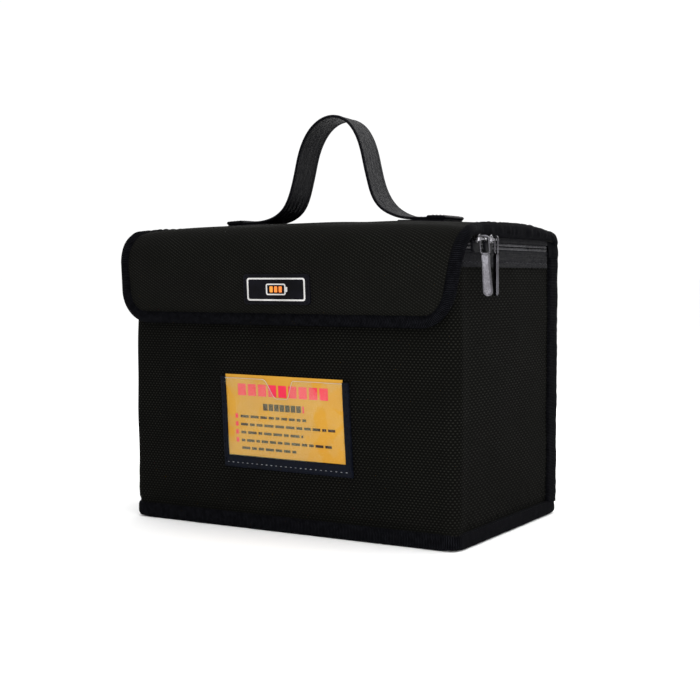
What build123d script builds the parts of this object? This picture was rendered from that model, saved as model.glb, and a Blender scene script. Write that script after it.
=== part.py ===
from build123d import *
from math import atan2, cos, degrees, radians, sin, sqrt
import os

# Soft-sided storage bag for rechargeable packs: a padded box with a zipped lid, a front flap
# that is one piece with the lid, a webbing handle, a label pocket and a rubber badge.
# Millimetres. Origin: middle of the box's base, on the surface it stands on.
# +X is the wearer's right as seen from the front, -Y is the front, +Z is up.

# Driving dimensions of the box
BODY_W = 215.0
BODY_D = 140.0
FRONT_R = 6.0           # corner where the wrap turns from front to side
BACK_R = 6.0            # bound corner at the back
FABRIC = 0.8
BOARD = 3.5
LINER = 0.6
BASE_T = 1.0
BASE_BOARD_T = 3.0
BOARD_IN = FABRIC + BOARD
LINER_IN = BOARD_IN + LINER
BACK_SEAM = 14.0        # width of the binding on each side of a back corner

# Heights
BINDING_H = 9.0
BINDING_T = 1.2
TAPE_LOW = 150.6
COIL_LOW = 160.2
ZIP_LEVEL = 162.0       # where the two coils meet
COIL_H = 1.65
COIL_T = 1.8
TAPE_T = 0.7
TAPE_TOP = 168.0
TAPE_TOP_FRONT = 165.2  # lower ahead of ROLL_BACK, because the lid's roll comes down over it
ROLL_BACK = -54.0
BOARD_TOP = 159.8
GAP = 0.3               # running clearance between moving bodies

# Lid: a strip whose side view is three tangent arcs, with the flap's roll at the front
STRIP_HALF = 111.0
CORE_HALF = 110.0
CROWN_Z = 178.0
CROWN_R = 620.0
LID_BACK_R = 12.0
LID_BACK_Z = 164.0
ROLL_R = 20.0
ROLL_C = (-60.0, 154.0)
FOLD = 120.0            # angle on the roll where lid ends and flap begins
FOLD_GAP = 0.4
LID_LOW = 163.3
LID_PAD = 6.0
LID_LINER = 6.6
SKIN = 0.9              # binding thickness over the strip's faces
STRIP_BINDING = 6.5
LID_EDGE_LOW = 167.0
LID_CORNER_Y = 58.0

CROWN_C_Z = CROWN_Z - CROWN_R
CROWN_C_Y = ROLL_C[0] + sqrt((CROWN_R - ROLL_R) ** 2 - (ROLL_C[1] - CROWN_C_Z) ** 2)
LID_BACK_Y = CROWN_C_Y + sqrt((CROWN_R - LID_BACK_R) ** 2 - (LID_BACK_Z - CROWN_C_Z) ** 2)
CROWN_C = (CROWN_C_Y, CROWN_C_Z)
LID_BACK_C = (LID_BACK_Y, LID_BACK_Z)

# Flap
FLAP_LEAN = 3.5
FLAP_BOTTOM = 118.0
FLAP_PAD = 2.6
FLAP_LINING = 3.2
FLAP_BINDING_IN = 4.1
FLAP_CORNER = 19.0
HOOK_IN = 5.8

# Hook and loop
STRIP_W = 140.0
HOOK_Z = (131.0, 147.0)
LOOP_Z = (129.5, 148.5)
LOOP_T = 1.9

# Badge
BADGE_AT = (1.5, 138.5)
BADGE_SIZE = (44.0, 17.0)
BADGE_BORDER = (38.5, 12.8)
BORDER_W = 1.0
BADGE_T = 1.6
RELIEF_T = 0.6
CELL = (13.0, 6.4)      # outline of the cell pictogram on the badge
CELL_LINE = 0.8
BAR = (2.0, 3.4)
BAR_STEP = 3.0

# Label pocket and card
POCKET_AT = (1.9, 61.5)
POCKET_SIZE = (86.0, 52.4)
POCKET_BINDING = 4.0
POCKET_DEPTH = 2.1
FILM_T = 0.4
FILM_OUT = 1.5
CARD_AT = (1.9, 65.8)
CARD_SIZE = (76.8, 46.6)
CARD_T = 0.4

# Handle
STRAP_W = 25.0
STRAP_T = 1.9
PAD_T = 1.8
PAD_SPAN = {"left": (-81.0, -50.0), "right": (41.0, 72.0)}
PAD_Z = CROWN_Z + 0.05
STRAP_Z = PAD_Z + PAD_T + GAP + STRAP_T / 2
HANDLE_TOP = 242.5
HANDLE_FEET = (-37.7, 26.4)
HANDLE_SHOULDERS = (-23.4, 9.6)
FOOT_R = 20.0
SHOULDER_R = 17.0

# Sliders and pulls, on the +X side
SLIDER_Y = {"front": -53.0, "rear": -38.0}
PULL_YAW = {"front": -66.0, "rear": 45.0}   # turn of the pull's face from the side wall
PLATE_X = BODY_W / 2 + COIL_T + GAP
PLATE_T = 1.4
PLATE_SIZE = (8.8, 7.6)
BAR_X = 115.2
BAR_Z = 165.2
BAR_T = 1.3
BRIDGE_HALF = 4.4
BRIDGE_LEG = 1.2
RING_TOP = 167.6
RING_BOTTOM = 159.5
RING_W = 6.2
WIRE = 1.1
TAB_W = 5.6
TAB_T = 1.6
TAB_BOTTOM = 135.0


def write(name, shape):
    export_step(shape, f"parts/{name}.step")


def block(x, y, z):
    """A box from (low, high) pairs along each axis."""
    size = [high - low for low, high in (x, y, z)]
    middle = [(high + low) / 2 for low, high in (x, y, z)]
    return Pos(*middle) * Box(*size)


# ---- the box, seen from above ----

def plan(inset):
    """The box's outline, moved inward by inset."""
    face = Rectangle(BODY_W - 2 * inset, BODY_D - 2 * inset)
    face = fillet(face.vertices().group_by(Axis.Y)[0], FRONT_R - inset)
    return fillet(face.vertices().group_by(Axis.Y)[-1], BACK_R - inset)


def slab(inset, low, high):
    return Pos(0, 0, low) * extrude(plan(inset), high - low)


def ring(outer, inner, low, high):
    """A wall between two insets of the outline."""
    return slab(outer, low, high) - slab(inner, low, high)


ALL_X = (-BODY_W, BODY_W)
ALL_Z = (-10.0, 300.0)
BACK_Y = BODY_D / 2


def ahead_of(y):
    return block(ALL_X, (-BODY_D, y), ALL_Z)


def behind(y):
    return block(ALL_X, (y, BODY_D), ALL_Z)


def build_walls():
    """Fabric, boards and liner of the box."""
    seam_y = BACK_Y - 0.8 * BACK_SEAM
    fabric = ring(0, FABRIC, BASE_T, TAPE_LOW + 2)
    write("outer_wrap", fabric & ahead_of(seam_y))
    write("back_panel", ring(0, FABRIC, BASE_T, COIL_LOW) & behind(seam_y))
    write("base_panel", slab(0, 0, BASE_T))
    write("base_board", slab(FABRIC, BASE_T, BASE_T + BASE_BOARD_T))

    floor = BASE_T + BASE_BOARD_T
    boards = ring(FABRIC, BOARD_IN, floor, BOARD_TOP)
    front_y = -BACK_Y + FRONT_R
    back_y = BACK_Y - BACK_R
    middle = boards & block(ALL_X, (front_y, back_y), ALL_Z)
    write("front_board", boards & ahead_of(front_y))
    write("back_board", boards & behind(back_y))
    write("left_board", middle & block((-BODY_W, 0), (-BODY_D, BODY_D), ALL_Z))
    write("right_board", middle & block((0, BODY_W), (-BODY_D, BODY_D), ALL_Z))

    write("liner_walls", ring(BOARD_IN, LINER_IN, floor, BOARD_TOP))
    write("liner_base", slab(LINER_IN, floor, floor + LINER))


def build_box_bindings():
    write("bottom_binding", ring(-BINDING_T, 0, 0, BINDING_H))
    upright = ring(-BINDING_T, 0, BINDING_H, COIL_LOW)
    inner_x = BODY_W / 2 - BACK_SEAM
    corner_y = (BACK_Y - BACK_SEAM, BODY_D)
    write("left_back_binding", upright & block((-BODY_W, -inner_x), corner_y, ALL_Z))
    write("right_back_binding", upright & block((inner_x, BODY_W), corner_y, ALL_Z))


def build_zip():
    """Two tapes and two coils round the front and both sides."""
    end_y = BACK_Y - BACK_SEAM - GAP
    coil_end_y = end_y - 3
    write("lower_zip_tape", ring(-TAPE_T, 0, TAPE_LOW, COIL_LOW) & ahead_of(end_y))
    low = ring(-COIL_T, 0, COIL_LOW, COIL_LOW + COIL_H)
    write("lower_zip_coil", low & ahead_of(coil_end_y))
    up_low = ZIP_LEVEL + GAP / 2
    up = ring(-COIL_T, 0, up_low, up_low + COIL_H)
    write("upper_zip_coil", up & ahead_of(coil_end_y))
    tape = ring(-TAPE_T, 0, up_low + COIL_H, TAPE_TOP) & ahead_of(end_y)
    under_roll = block(ALL_X, (-BODY_D, ROLL_BACK), (TAPE_TOP_FRONT, TAPE_TOP))
    write("upper_zip_tape", tape - under_roll)


def build_loop_strip():
    half = STRIP_W / 2
    write("loop_strip", block((-half, half), (-BACK_Y - LOOP_T, -BACK_Y), LOOP_Z))


# ---- label pocket ----

def front_rectangle(at, size, depth):
    """A plate on the front wall: centre (x, z), size (width, height), depth (near, far) out from it."""
    x = (at[0] - size[0] / 2, at[0] + size[0] / 2)
    z = (at[1] - size[1] / 2, at[1] + size[1] / 2)
    return block(x, (-BACK_Y - depth[1], -BACK_Y - depth[0]), z)


def build_pocket():
    outer = front_rectangle(POCKET_AT, POCKET_SIZE, (0, POCKET_DEPTH))
    inside = (POCKET_SIZE[0] - 2 * POCKET_BINDING, POCKET_SIZE[1])
    raised = (POCKET_AT[0], POCKET_AT[1] + POCKET_BINDING)
    write("pocket_binding", outer - front_rectangle(raised, inside, (0, POCKET_DEPTH)))
    window_h = POCKET_SIZE[1] - POCKET_BINDING
    window_at = (POCKET_AT[0], POCKET_AT[1] + POCKET_BINDING / 2)
    film = front_rectangle(window_at, (inside[0], window_h), (FILM_OUT - FILM_T, FILM_OUT))
    write("pocket_window", film)
    write("label_card", front_rectangle(CARD_AT, CARD_SIZE, (GAP, GAP + CARD_T)))


# ---- the lid and flap strip, seen from the side: x is the object's Y, y is its Z ----

def on_arc(centre, radius, angle):
    a = radians(angle)
    return (centre[0] + radius * cos(a), centre[1] + radius * sin(a))


def arc(centre, radius, start, end):
    stops = (start, (start + end) / 2, end)
    return ThreePointArc(*[on_arc(centre, radius, a) for a in stops])


def angle_from_crown(point):
    return degrees(atan2(point[1] - CROWN_C[1], point[0] - CROWN_C[0]))


BACK_TURN = angle_from_crown(LID_BACK_C)
FRONT_TURN = angle_from_crown(ROLL_C)


def lid_line(inset):
    """The lid's outline moved inward by inset, from the back edge over the top to the fold."""
    back = LID_BACK_Y + LID_BACK_R - inset
    return [
        Line((back, LID_LOW), (back, LID_BACK_Z)),
        arc(LID_BACK_C, LID_BACK_R - inset, 0, BACK_TURN),
        arc(CROWN_C, CROWN_R - inset, BACK_TURN, FRONT_TURN),
        arc(ROLL_C, ROLL_R - inset, FRONT_TURN, FOLD - FOLD_GAP),
    ]


def flap_line(inset):
    """The flap's outline moved inward by inset, from the fold down to below its edge."""
    end = 180 + FLAP_LEAN
    start = on_arc(ROLL_C, ROLL_R - inset, end)
    drop = start[1] - FLAP_BOTTOM + 5
    foot = (start[0] + drop * sin(radians(FLAP_LEAN)), start[1] - drop * cos(radians(FLAP_LEAN)))
    return [arc(ROLL_C, ROLL_R - inset, FOLD + FOLD_GAP, end), Line(start, foot)]


def layer(line, outer, inner, half):
    """A sheet of the strip between two insets, half the width either side of the middle."""
    out_edges, in_edges = line(outer), line(inner)
    ends = [
        Line(out_edges[0] @ 0, in_edges[0] @ 0),
        Line(out_edges[-1] @ 1, in_edges[-1] @ 1),
    ]
    face = make_face(out_edges + in_edges + ends)
    return extrude(Plane.YZ * face, half, both=True)


def build_lid():
    write("lid_cover", layer(lid_line, 0, FABRIC, CORE_HALF))
    inside = behind(ROLL_C[0] - 4)
    write("lid_padding", layer(lid_line, FABRIC, LID_PAD, CORE_HALF - 1) & inside)
    write("lid_liner", layer(lid_line, LID_PAD, LID_LINER, CORE_HALF - 3) & inside)


def lid_edge_plate():
    """The binding's face at the strip's side edge, from the top down to just above the zip."""
    line = lid_line(-SKIN)
    fold_end = line[-1] @ 1
    back_end = line[0] @ 0
    low_r = (LID_EDGE_LOW - ROLL_C[1]) / sin(radians(FOLD - FOLD_GAP))
    low_y = on_arc(ROLL_C, low_r, FOLD - FOLD_GAP)[0]
    corners = [
        (fold_end.X, fold_end.Y),
        (low_y, LID_EDGE_LOW),
        (LID_CORNER_Y, LID_EDGE_LOW),
        (LID_CORNER_Y, LID_LOW),
        (back_end.X, back_end.Y),
    ]
    return extrude(Plane.YZ * make_face(line + [Polyline(*corners)]), SKIN)


def build_lid_bindings():
    over = layer(lid_line, -SKIN, 0, STRIP_HALF)
    inner_x = STRIP_HALF - STRIP_BINDING
    edge = lid_edge_plate()
    for name, sign in (("left", -1), ("right", 1)):
        xs = sorted((sign * inner_x, sign * CORE_HALF))
        top = over & block(tuple(xs), (-BODY_D, BODY_D), ALL_Z)
        plate_x = CORE_HALF if sign > 0 else -CORE_HALF - SKIN
        write(f"{name}_lid_binding", top + Pos(plate_x, 0, 0) * edge)


# ---- flap ----

def window(half, bottom, corner):
    """A block that cuts flap layers to a width, a lower edge and rounded lower corners."""
    top = 200.0
    face = Pos(0, (bottom + top) / 2) * Rectangle(2 * half, top - bottom)
    face = fillet(face.vertices().group_by(Axis.Y)[0], corner)
    return Pos(0, -BACK_Y, 0) * extrude(Plane.XZ * face, 40, both=True)


def front_shape(at, face):
    """A flat shape pushed through the flap at (x, z)."""
    return Pos(0, -BACK_Y - 10, 0) * extrude(Plane.XZ * (Pos(*at) * face), 12, both=True)


def build_flap():
    core = window(CORE_HALF, FLAP_BOTTOM + 1, FLAP_CORNER - 1)
    write("flap_cover", layer(flap_line, 0, FABRIC, CORE_HALF) & core)
    write("flap_padding", layer(flap_line, FABRIC, FLAP_PAD, CORE_HALF) & core)
    write("flap_lining", layer(flap_line, FLAP_PAD, FLAP_LINING, CORE_HALF) & core)

    inner_half = STRIP_HALF - STRIP_BINDING
    outside = window(STRIP_HALF, FLAP_BOTTOM, FLAP_CORNER)
    inside = window(inner_half, FLAP_BOTTOM + STRIP_BINDING, FLAP_CORNER - STRIP_BINDING)
    around = layer(flap_line, -SKIN, FLAP_BINDING_IN, STRIP_HALF) & (outside - inside)
    write("flap_binding", around - (layer(flap_line, 0, FLAP_LINING, CORE_HALF) & core))

    hook_face = Rectangle(STRIP_W, HOOK_Z[1] - HOOK_Z[0])
    hook = layer(flap_line, FLAP_LINING, HOOK_IN, STRIP_W / 2)
    write("hook_strip", hook & front_shape((0, sum(HOOK_Z) / 2), hook_face))


def cell_outline():
    """A plain cell pictogram: a rounded frame with a terminal at one end."""
    frame = RectangleRounded(*CELL, 1.2)
    frame -= RectangleRounded(CELL[0] - 2 * CELL_LINE, CELL[1] - 2 * CELL_LINE, 0.6)
    terminal = Pos(CELL[0] / 2 + 0.55, 0) * Rectangle(1.1, 2.8)
    return frame + terminal


def build_badge():
    base = layer(flap_line, -BADGE_T, 0, BADGE_SIZE[0])
    write("badge_base", base & front_shape(BADGE_AT, RectangleRounded(*BADGE_SIZE, 2.2)))
    relief = layer(flap_line, -BADGE_T - RELIEF_T, -BADGE_T, BADGE_SIZE[0])
    border = RectangleRounded(*BADGE_BORDER, 1.6)
    border -= RectangleRounded(BADGE_BORDER[0] - 2 * BORDER_W, BADGE_BORDER[1] - 2 * BORDER_W, 0.8)
    write("badge_border", relief & front_shape(BADGE_AT, border))
    write("badge_cell", relief & front_shape(BADGE_AT, cell_outline()))
    bars = [Pos(i * BAR_STEP, 0) * Rectangle(*BAR) for i in (-1, 0, 1)]
    write("badge_bars", Compound([relief & front_shape(BADGE_AT, bar) for bar in bars]))


# ---- handle ----

def build_handle():
    half = STRAP_W / 2
    for name, span in PAD_SPAN.items():
        write(f"{name}_handle_pad", block(span, (-half, half), (PAD_Z, PAD_Z + PAD_T)))
    points = [
        (PAD_SPAN["left"][0], STRAP_Z),
        (HANDLE_FEET[0], STRAP_Z),
        (HANDLE_SHOULDERS[0], HANDLE_TOP),
        (HANDLE_SHOULDERS[1], HANDLE_TOP),
        (HANDLE_FEET[1], STRAP_Z),
        (PAD_SPAN["right"][1], STRAP_Z),
    ]
    radii = [FOOT_R, SHOULDER_R, SHOULDER_R, FOOT_R]
    path = FilletPolyline(*[(x, 0, z) for x, z in points], radius=radii)
    start = Plane(origin=path @ 0, x_dir=(0, 1, 0), z_dir=path % 0)
    write("handle_strap", sweep(start * Rectangle(STRAP_W, STRAP_T), path=path))


# ---- sliders and pulls ----

def build_slider(name):
    y = SLIDER_Y[name]
    plate = extrude(Plane.YZ * RectangleRounded(*PLATE_SIZE, 2.5), PLATE_T)
    write(f"{name}_slider", Pos(PLATE_X, y, ZIP_LEVEL) * plate)
    top = PLATE_X + PLATE_T
    bar_z = (BAR_Z - BAR_T / 2, BAR_Z + BAR_T / 2)
    arch = block((top, BAR_X + BAR_T / 2), (-BRIDGE_HALF, BRIDGE_HALF), bar_z)
    clear = BRIDGE_HALF - BRIDGE_LEG
    arch -= block((top, BAR_X - BAR_T / 2), (-clear, clear), bar_z)
    write(f"{name}_slider_bridge", Pos(0, y, 0) * arch)


def pull_place(name):
    return Pos(BAR_X, SLIDER_Y[name], 0) * Rot(0, 0, PULL_YAW[name])


def build_pull(name):
    """A wire ring round the bridge and a flat tab, both in one upright plane."""
    height = RING_TOP - RING_BOTTOM
    frame = RectangleRounded(RING_W, height, 1.0)
    frame -= RectangleRounded(RING_W - 2 * WIRE, height - 2 * WIRE, 0.4)
    link = extrude(Plane.YZ * (Pos(0, (RING_TOP + RING_BOTTOM) / 2) * frame), WIRE / 2, both=True)
    write(f"{name}_pull_ring", pull_place(name) * link)
    length = RING_BOTTOM - TAB_BOTTOM
    face = Rectangle(TAB_W, length)
    face = fillet(face.vertices().group_by(Axis.Y)[0], TAB_W / 2 - 0.1)
    face = fillet(face.vertices().group_by(Axis.Y)[-1], 0.8)
    tab = extrude(Plane.YZ * (Pos(0, TAB_BOTTOM + length / 2) * face), TAB_T / 2, both=True)
    write(f"{name}_pull_tab", pull_place(name) * tab)


os.makedirs("parts", exist_ok=True)
build_walls()
build_box_bindings()
build_zip()
build_loop_strip()
build_pocket()
build_lid()
build_lid_bindings()
build_flap()
build_badge()
build_handle()
for place in SLIDER_Y:
    build_slider(place)
    build_pull(place)
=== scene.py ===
import math
import bpy
import numpy as np
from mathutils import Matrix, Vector


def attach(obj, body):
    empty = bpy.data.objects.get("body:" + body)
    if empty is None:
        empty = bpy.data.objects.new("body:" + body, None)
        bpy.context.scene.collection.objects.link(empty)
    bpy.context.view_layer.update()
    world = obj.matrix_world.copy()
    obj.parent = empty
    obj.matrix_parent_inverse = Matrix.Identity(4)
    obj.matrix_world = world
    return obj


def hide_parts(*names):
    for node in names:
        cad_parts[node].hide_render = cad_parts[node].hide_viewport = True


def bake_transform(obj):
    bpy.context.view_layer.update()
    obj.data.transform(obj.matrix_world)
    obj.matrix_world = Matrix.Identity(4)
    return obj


# A padded storage bag: fabric shells, bindings, zipper, strap, label pocket and badge built round
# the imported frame. Lengths are millimetres and become metres in Shape.make.

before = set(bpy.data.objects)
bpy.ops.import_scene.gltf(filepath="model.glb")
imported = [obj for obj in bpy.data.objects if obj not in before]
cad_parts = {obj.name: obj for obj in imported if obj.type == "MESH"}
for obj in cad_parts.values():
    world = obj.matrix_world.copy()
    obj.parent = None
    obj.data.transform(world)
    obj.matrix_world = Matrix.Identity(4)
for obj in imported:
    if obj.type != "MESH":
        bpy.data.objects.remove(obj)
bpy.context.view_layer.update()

MM = 0.001

# The box, as the frame has it
BODY_W, BODY_D = 215.0, 140.0
FRONT_R, BACK_R = 6.0, 6.0
FRONT_RUN = BODY_W / 2 - FRONT_R            # straight lengths of the outline, from the front's middle
FRONT_ARC = FRONT_R * math.pi / 2
SIDE_RUN = BODY_D - FRONT_R - BACK_R
BACK_ARC = BACK_R * math.pi / 2
SIDE_AT = FRONT_RUN + FRONT_ARC             # where the side wall starts along the outline
CORNER_AT = SIDE_AT + SIDE_RUN
BACK_AT = CORNER_AT + BACK_ARC
HALF_ROUND = BACK_AT + BODY_W / 2 - BACK_R
BACK_SEAM = 14.0                            # how far the back corner's binding reaches each way
SEAM_AT = SIDE_AT + BODY_D - FRONT_R - BACK_SEAM
BACK_SEAM_AT = BACK_AT + BACK_SEAM - BACK_R
ZIP_END = SEAM_AT - 3.6                     # the tapes stop just short of that binding
COIL_END = ZIP_END - 3

# The lid and flap strip
CORE_HALF = 110.0
CROWN_Z, CROWN_R = 178.0, 620.0
LID_BACK_R, LID_BACK_Z = 12.0, 164.0
ROLL_R, ROLL_C = 20.0, (-60.0, 154.0)
LID_LOW = 163.3
FLAP_LEAN = 3.5
FLAP_END_Z = 119.0
FLAP_CORNER = 18.0
BINDING_W = 5.7
BACK_CORNER = (18.0, 14.5)                  # how far the lid's rounded back corner reaches along and across
LID_DROOP = 3.4
FLAP_T = 3.2
LID_PAD, FLAP_PAD = 5.7, 2.5                # padding under the cover, on the lid and on the flap

# Label pocket, badge, handle
POCKET_MID = (1.9, 61.5)
POCKET_LEAN, POCKET_TILT = 0.055, 0.008      # the sewn pocket hangs a little askew
BADGE_AT = (1.5, 138.5)
PAD_TOP = 178.75


# ---- small mathematics ----

def smooth(x, low, high):
    t = np.clip((np.asarray(x, float) - low) / (high - low), 0, 1)
    return t * t * (3 - 2 * t)


def ripple(points, length, seed):
    """A smooth wavy field over 3-D points, about one unit high, with waves near the given length."""
    rng = np.random.default_rng(seed)
    total = 0.0
    for _ in range(14):
        direction = rng.normal(size=3)
        direction *= 2 * math.pi / length * rng.uniform(0.6, 1.5) / np.linalg.norm(direction)
        total = total + np.sin(points @ direction + rng.uniform(0, 2 * math.pi))
    return total / math.sqrt(7)


def unit(v):
    return v / np.maximum(np.linalg.norm(v, axis=-1, keepdims=True), 1e-12)


def spline(points, step):
    """A smooth curve through points, sampled about every step."""
    p = np.asarray(points, float)
    h = np.linalg.norm(np.diff(p, axis=0), axis=1)
    n = len(p)
    a = np.eye(n)
    b = np.zeros_like(p)
    for i in range(1, n - 1):
        a[i, i - 1:i + 2] = h[i - 1], 2 * (h[i - 1] + h[i]), h[i]
        b[i] = 3 * ((p[i + 1] - p[i]) / h[i] - (p[i] - p[i - 1]) / h[i - 1])
    c = np.linalg.solve(a, b)
    out = []
    for i in range(n - 1):
        t = np.linspace(0, h[i], max(2, int(h[i] / step)), endpoint=False)[:, None]
        d = (c[i + 1] - c[i]) / (3 * h[i])
        k = (p[i + 1] - p[i]) / h[i] - h[i] * (2 * c[i] + c[i + 1]) / 3
        out.append(p[i] + k * t + c[i] * t ** 2 + d * t ** 3)
    return np.concatenate(out + [p[-1:]])


def rounded(w, h, r, at=(0, 0), n=6):
    """A rounded rectangle's outline, anticlockwise."""
    out = []
    for k, (sx, sy) in enumerate([(1, 1), (-1, 1), (-1, -1), (1, -1)]):
        a = np.linspace(0, math.pi / 2, n) + k * math.pi / 2
        out.append(np.stack([sx * (w / 2 - r) + r * np.cos(a), sy * (h / 2 - r) + r * np.sin(a)], 1))
    return np.concatenate(out) + np.array(at, float)


# ---- meshes ----

class Shape:
    """Faces gathered from grids and loops, each with fabric coordinates in millimetres."""

    def __init__(self):
        self.points, self.faces, self.uvs, self.count = [], [], [], 0

    def grid(self, points, wrap=(False, False), flip=False, uv=None):
        points = np.asarray(points, float)
        nu, nv = points.shape[:2]
        if uv is None:
            uv = lengths(points, wrap)
        a, b = np.meshgrid(np.arange(nu - (not wrap[0])), np.arange(nv - (not wrap[1])), indexing="ij")
        a, b = a.ravel(), b.ravel()
        corners = [(a, b), (a + 1, b), (a + 1, b + 1), (a, b + 1)]
        if flip:
            corners.reverse()
        index = np.stack([(i % nu) * nv + j % nv for i, j in corners], 1) + self.count
        self.faces += index.tolist()
        self.uvs.append(np.stack([uv[i, j] for i, j in corners], 1).reshape(-1, 2))
        self.points.append(points.reshape(-1, 3))
        self.count += nu * nv
        return self

    def cap(self, points, flip=False, uv=None):
        """One flat face round a loop of new points."""
        points = np.asarray(points, float)
        order = np.arange(len(points))[::-1 if flip else 1]
        wide = np.argsort(np.ptp(points, axis=0))[1:]
        uv = points[:, np.sort(wide)] if uv is None else uv
        self.faces.append((order + self.count).tolist())
        self.uvs.append(uv[order])
        self.points.append(points)
        self.count += len(points)
        return self

    def tube(self, rings, flip=False):
        """A closed tube: rings (n, k, 3) with a face at each end."""
        self.grid(rings, wrap=(False, True), flip=flip)
        self.cap(rings[0], flip=not flip)
        self.cap(rings[-1], flip=flip)
        return self

    def make(self, name, material, angle=50):
        mesh = bpy.data.meshes.new(name)
        mesh.from_pydata((np.concatenate(self.points) * MM).tolist(), [], self.faces)
        layer = mesh.uv_layers.new(name="weave")
        layer.data.foreach_set("uv", np.concatenate(self.uvs).astype(np.float32).ravel())
        mesh.polygons.foreach_set("use_smooth", [True] * len(mesh.polygons))
        mesh.materials.append(material)
        obj = bpy.data.objects.new(name, mesh)
        bpy.context.scene.collection.objects.link(obj)
        weld = obj.modifiers.new("weld", "WELD")
        weld.merge_threshold = 2e-6
        bpy.context.view_layer.objects.active = obj
        bpy.ops.object.modifier_apply(modifier="weld")
        obj.data.set_sharp_from_angle(angle=math.radians(angle))
        return obj


def lengths(points, wrap):
    """Surface coordinates of a grid from the mean spacing of its rows and columns."""
    out = []
    for axis in (0, 1):
        p = points
        if wrap[axis]:
            p = np.concatenate([p, np.take(p, [0], axis=axis)], axis)
        gaps = np.linalg.norm(np.diff(p, axis=axis), axis=2).mean(1 - axis)
        out.append(np.concatenate([[0], np.cumsum(gaps)]))
    return np.stack(np.meshgrid(*out, indexing="ij"), -1)


def plate(shape, outline, place, low, high, bevel=0.3):
    """A flat piece with a rounded upper edge; outline(inset) gives its loop, place(a, b, out) its points."""
    steps = [(0, low), (0, high - bevel)]
    for a in (0.5, 1.0, math.pi / 2):
        steps.append((bevel * (1 - math.cos(a)), high - bevel + bevel * math.sin(a)))
    rings = [place(*outline(i).T, o) for i, o in steps]
    shape.grid(np.array(rings), wrap=(False, True))
    shape.cap(rings[-1])
    shape.cap(rings[0], flip=True)


def band(shape, outer, inner, place, low, high, bevel=0.2):
    """A raised frame between two loops that correspond point by point."""
    def mix(f, out):
        return place(*(outer + (inner - outer) * f).T, out)
    width = np.linalg.norm(outer - inner, axis=1).mean()
    b = min(bevel / width, 0.4)
    rings = [mix(0, low), mix(0, high - bevel), mix(b * 0.3, high - bevel * 0.3), mix(b, high),
             mix(1 - b, high), mix(1 - b * 0.3, high - bevel * 0.3), mix(1, high - bevel), mix(1, low)]
    shape.grid(np.array(rings), wrap=(True, True))


def circle(across, up, count=5):
    """Directions round a wire, given two directions square to it."""
    a = np.linspace(0, 2 * math.pi, count, endpoint=False)
    return np.cos(a)[None, :, None] * across + np.sin(a)[None, :, None] * up


def threads(shape, path, normals, pitch=3.0, length=2.2, radius=0.24, lift=0.05):
    """Stitches of thick thread along a dense path."""
    path, normals = np.asarray(path, float), np.asarray(normals, float)
    at = np.concatenate([[0], np.cumsum(np.linalg.norm(np.diff(path, axis=0), axis=1))])
    for middle in np.arange(pitch / 2, at[-1] - pitch / 2 + 1e-6, pitch):
        s = middle + length / 2 * np.array([-1, -0.8, -0.3, 0.3, 0.8, 1])
        centre = np.stack([np.interp(s, at, path[:, k]) for k in range(3)], 1)
        up = unit(np.array([np.interp(middle, at, normals[:, k]) for k in range(3)]))
        along = unit(centre[-1] - centre[0])
        side = np.cross(along, up)
        size = radius * np.array([0.15, 0.75, 1, 1, 0.75, 0.15])
        sink = radius * np.array([-1.2, -0.2, lift, lift, -0.2, -1.2])
        rings = centre[:, None] + circle(side, up) * size[:, None, None] + (sink[:, None] * up)[:, None]
        shape.tube(rings, flip=True)


def settle(obj, body, slot=None, *nodes):
    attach(obj, body)
    if nodes:
        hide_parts(*nodes)
    return obj


# ---- materials ----

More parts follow.
